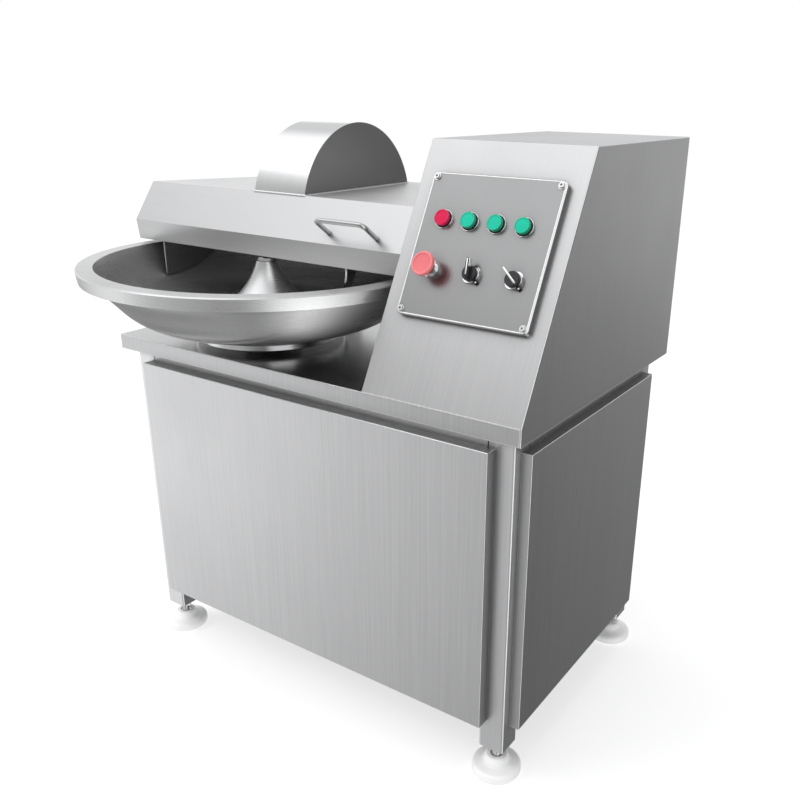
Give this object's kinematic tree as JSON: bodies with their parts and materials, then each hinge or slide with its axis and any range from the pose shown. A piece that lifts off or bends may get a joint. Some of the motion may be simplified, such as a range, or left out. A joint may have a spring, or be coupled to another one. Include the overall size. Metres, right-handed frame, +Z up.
{
  "type": "meat bowl cutter",
  "caption": "Floor-standing meat bowl cutter: bowl turning under a hinged lid with an arched knife cover, knife shaft from a sloped control head, square-tube cabinet on levelling feet.",
  "frame": {"origin": "on the floor, in the middle of the overall box", "axes": "+Z up, -Y to the operator, +X to the control head, knife shaft along X"},
  "size_m": [1.0514, 0.8221, 1.1096],
  "materials": {
    "brushed_stainless": "brushed",
    "polished_stainless": "polished",
    "bright_fasteners": "polished",
    "machined_steel": "turned",
    "cast_iron": "cast",
    "motor_paint": "satin paint",
    "box_paint": "satin paint",
    "white_nylon": "satin",
    "black_rubber": "matt",
    "black_plastic": "satin",
    "red_plastic": "gloss",
    "green_plastic": "gloss",
    "salmon_plastic": "satin"
  },
  "bodies": {
    "root": {"frame_posts": "brushed_stainless", "frame_rails": "brushed_stainless", "worktop": "brushed_stainless", "front_panel": "brushed_stainless", "right_panel": "brushed_stainless", "left_panel": "brushed_stainless", "rear_panel": "brushed_stainless", "bottom_tray": "brushed_stainless", "foot_pads": "white_nylon", "foot_studs": "bright_fasteners", "foot_nuts": "bright_fasteners", "head_housing": "brushed_stainless", "head_rear_cover": "brushed_stainless", "control_plate": "brushed_stainless", "control_plate_screws": "bright_fasteners", "button_bezels": "bright_fasteners", "button_bodies": "black_plastic", "estop_collar": "bright_fasteners", "selector_bezels": "bright_fasteners", "contact_blocks": "black_plastic", "bowl_bearing_housing": "cast_iron", "shaft_bearings": "machined_steel", "shaft_seal": "black_rubber", "shaft_housing": "machined_steel", "housing_bolts": "bright_fasteners", "bearing_pedestal": "cast_iron", "main_motor": "motor_paint", "drive_mounts": "brushed_stainless", "drive_belts": "black_rubber", "bowl_gearmotor": "motor_paint", "electrical_box": "box_paint", "cable_gland": "black_plastic", "hinge_brackets": "machined_steel", "hinge_pins": "bright_fasteners"},
    "bowl": {"bowl": "polished_stainless", "bowl_drive_plate": "polished_stainless", "bowl_spindle": "machined_steel", "hub_cap": "polished_stainless", "bowl_pulley": "cast_iron"},
    "knives": {"knife_shaft": "machined_steel", "knife_blades": "polished_stainless", "knife_spacers": "machined_steel", "knife_nut": "polished_stainless", "knife_pulley": "cast_iron"},
    "motor_rotor": {"motor_rotor": "machined_steel", "motor_pulley": "cast_iron"},
    "gearmotor_output": {"gearmotor_output": "machined_steel"},
    "lid": {"lid_shell": "brushed_stainless", "knife_arch": "brushed_stainless", "lid_handle": "polished_stainless", "lid_baffle": "brushed_stainless", "hinge_leaves": "machined_steel"},
    "red_button": {"red_button": "red_plastic"},
    "green_button_left": {"green_button_left": "green_plastic"},
    "green_button_middle": {"green_button_middle": "green_plastic"},
    "green_button_right": {"green_button_right": "green_plastic"},
    "estop_stem": {"estop_stem": "bright_fasteners"},
    "estop_mushroom": {"estop_mushroom": "salmon_plastic"},
    "selector_left": {"selector_left": "black_plastic"},
    "selector_right": {"selector_right": "black_plastic"}
  },
  "joints": [
    {"name": "bowl_spin", "type": "hinge", "parent": "root", "child": "bowl", "pos_m": [-0.1687, -0.0531, 0.7], "axis": [0, 0, 1], "continuous": true},
    {"name": "gearmotor_output_spin", "type": "hinge", "parent": "root", "child": "gearmotor_output", "pos_m": [-0.1687, 0.165, 0.5], "axis": [0, 0, 1], "continuous": true},
    {"name": "motor_spin", "type": "hinge", "parent": "root", "child": "motor_rotor", "pos_m": [0.2, 0.12, 0.31], "axis": [1, 0, 0], "continuous": true},
    {"name": "knife_spin", "type": "hinge", "parent": "root", "child": "knives", "pos_m": [0.1, 0.12, 0.895], "axis": [1, 0, 0], "continuous": true},
    {"name": "lid_hinge", "type": "hinge", "parent": "root", "child": "lid", "pos_m": [-0.1, 0.368, 0.905], "axis": [-1, 0, 0], "range_deg": [0, 85]},
    {"name": "red_button_push", "type": "slide", "parent": "root", "child": "red_button", "axis": [0, 0.8855, -0.4647], "range_m": [0, 0.003], "stiffness_N_per_m": 400, "springref_m": -0.002},
    {"name": "green_button_left_push", "type": "slide", "parent": "root", "child": "green_button_left", "axis": [0, 0.8855, -0.4647], "range_m": [0, 0.003], "stiffness_N_per_m": 400, "springref_m": -0.002},
    {"name": "green_button_middle_push", "type": "slide", "parent": "root", "child": "green_button_middle", "axis": [0, 0.8855, -0.4647], "range_m": [0, 0.003], "stiffness_N_per_m": 400, "springref_m": -0.002},
    {"name": "green_button_right_push", "type": "slide", "parent": "root", "child": "green_button_right", "axis": [0, 0.8855, -0.4647], "range_m": [0, 0.003], "stiffness_N_per_m": 400, "springref_m": -0.002},
    {"name": "estop_push", "type": "slide", "parent": "root", "child": "estop_stem", "axis": [0, 0.8855, -0.4647], "range_m": [0, 0.005], "stiffness_N_per_m": 800, "springref_m": -0.003},
    {"name": "estop_twist", "type": "hinge", "parent": "estop_stem", "child": "estop_mushroom", "pos_m": [0.2845, -0.15432, 0.90893], "axis": [0, 0.8855, -0.4647], "range_deg": [0, 35], "stiffness_Nm_per_rad": 0.1},
    {"name": "selector_left_turn", "type": "hinge", "parent": "root", "child": "selector_left", "pos_m": [0.363, -0.13662, 0.89964], "axis": [0, 0.8855, -0.4647], "range_deg": [-45, 45]},
    {"name": "selector_right_turn", "type": "hinge", "parent": "root", "child": "selector_right", "pos_m": [0.4415, -0.13662, 0.89964], "axis": [0, 0.8855, -0.4647], "range_deg": [0, 90]}
  ],
  "couplings": [
    {"joint": "knife_spin", "follows": "motor_spin", "ratio": 1.4},
    {"joint": "gearmotor_output_spin", "follows": "bowl_spin", "ratio": 2.4545}
  ]
}
